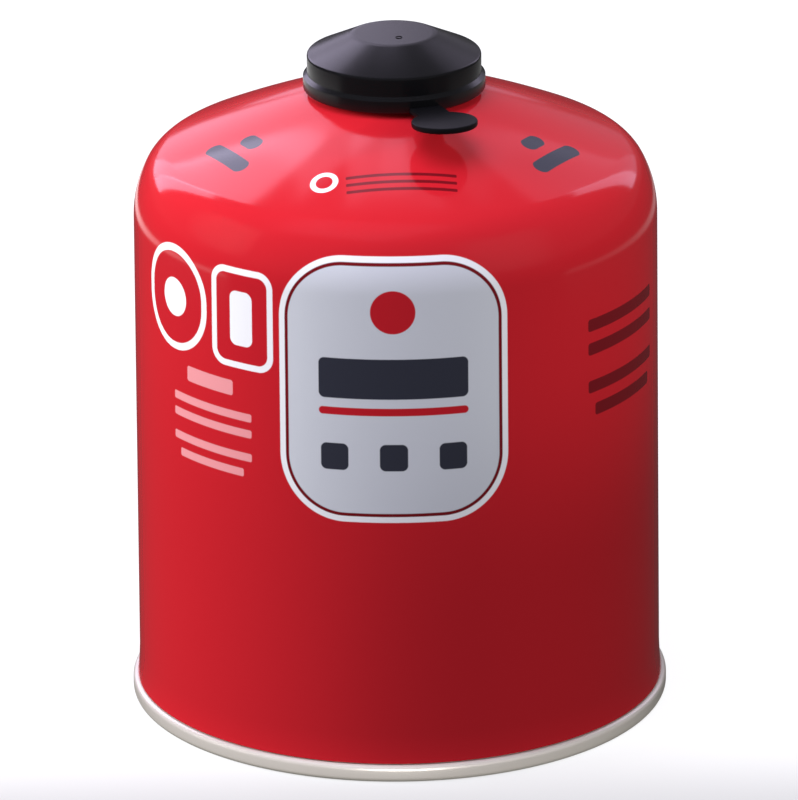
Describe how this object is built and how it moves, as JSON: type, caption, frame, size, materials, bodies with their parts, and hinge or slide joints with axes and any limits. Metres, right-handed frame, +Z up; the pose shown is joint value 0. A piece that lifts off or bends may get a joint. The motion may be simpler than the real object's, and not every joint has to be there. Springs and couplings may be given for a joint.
{
  "type": "gas fuel canister",
  "caption": "Sealed steel gas canister with a red painted vessel, bare seamed foot, threaded self-sealing valve and black pull-off cap with a round tab.",
  "frame": {"origin": "centre of the standing ring's underside, at the bottom centre of the bounding box", "axes": "+Z up along the canister's axis, -Y towards the front; the cap's tab points forward and to +X"},
  "size_m": [0.11, 0.11, 0.1406],
  "materials": {
    "red_paint": "glossy red enamel with pale and dark print",
    "tinplate": "bright bare tinplate",
    "black_plastic": "smooth moulded black, slightly glossy",
    "stem_plastic": "dark moulded plastic",
    "white_plastic": "natural moulded plastic",
    "black_rubber": "matt rubber",
    "spring_steel": "drawn wire"
  },
  "bodies": {
    "canister": {"can_body": "red_paint", "base_end": "tinplate", "valve_cup": "tinplate", "cup_gasket": "black_rubber", "stem_gasket": "black_rubber", "valve_housing": "white_plastic", "valve_spring": "spring_steel"},
    "cap": {"cap": "black_plastic"},
    "stem": {"valve_stem": "stem_plastic"}
  },
  "joints": [
    {"name": "cap_lift", "type": "slide", "parent": "canister", "child": "cap", "axis": [0, 0, 1], "range_m": [0, 0.03]},
    {"name": "valve_press", "type": "slide", "parent": "canister", "child": "stem", "axis": [0, 0, -1], "range_m": [0, 0.0015], "stiffness_N_per_m": 400, "springref_m": -0.004, "deforming": ["valve_spring"]}
  ]
}
